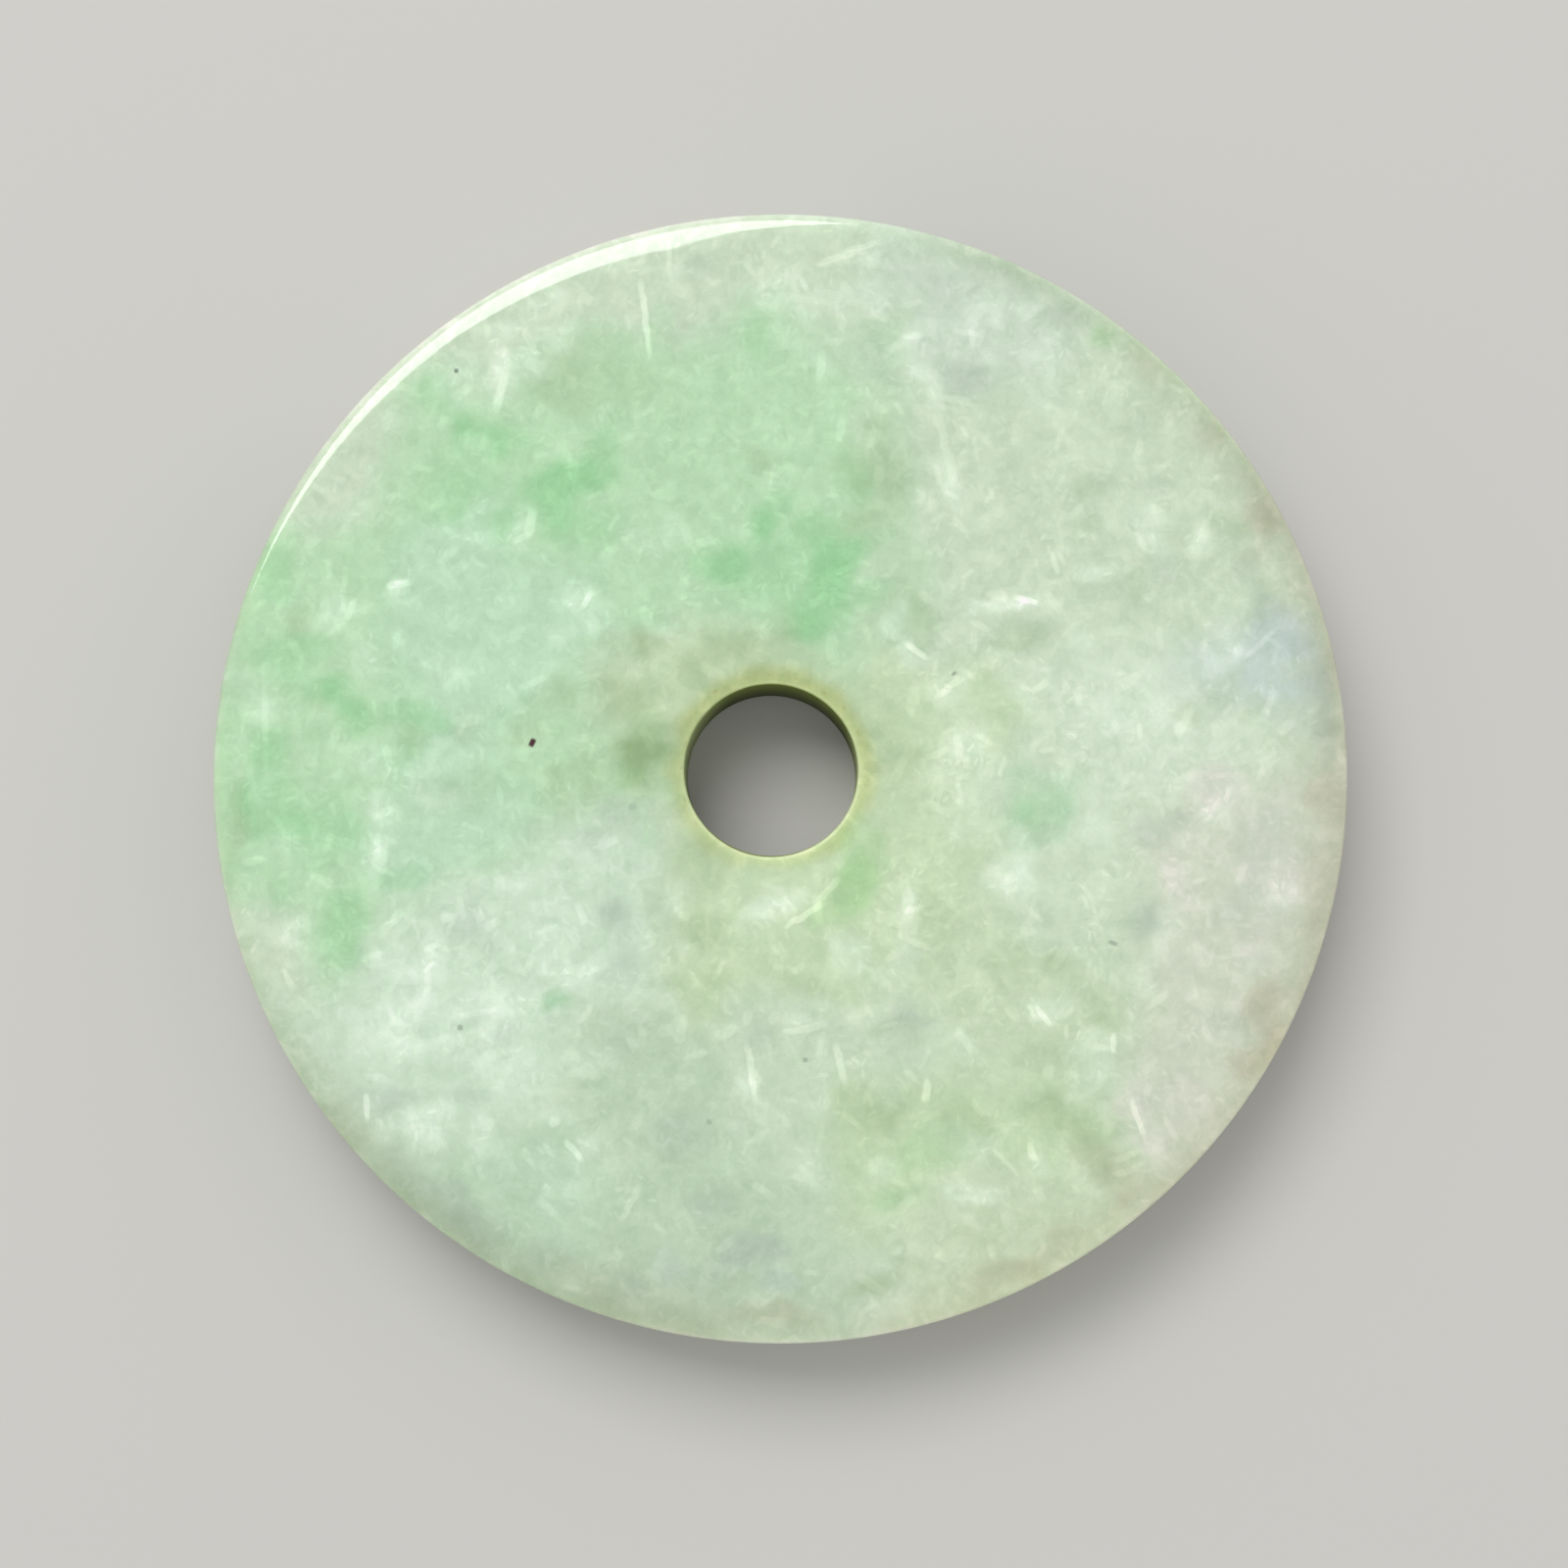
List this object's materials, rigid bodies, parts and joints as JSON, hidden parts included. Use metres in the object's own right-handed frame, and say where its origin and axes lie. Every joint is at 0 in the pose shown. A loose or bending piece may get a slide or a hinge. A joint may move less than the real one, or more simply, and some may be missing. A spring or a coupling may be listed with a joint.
{
  "type": "jade donut pendant",
  "caption": "Flat round disc of polished pale green jade with a small round hole near its middle for a hanging cord.",
  "frame": {"origin": "centre of the disc's outline, on its back face, which is the face it lies on", "axes": "+Z out of the front face, the way the camera looks at it; +Y towards the top of the picture; +X towards its right"},
  "size_m": [0.05, 0.05, 0.005],
  "materials": {
    "polished_jadeite": "polished jadeite, glassy gloss over mottled pale green, white and faint lavender stone"
  },
  "bodies": {
    "root": {"jade_disc": "polished_jadeite"}
  },
  "joints": []
}
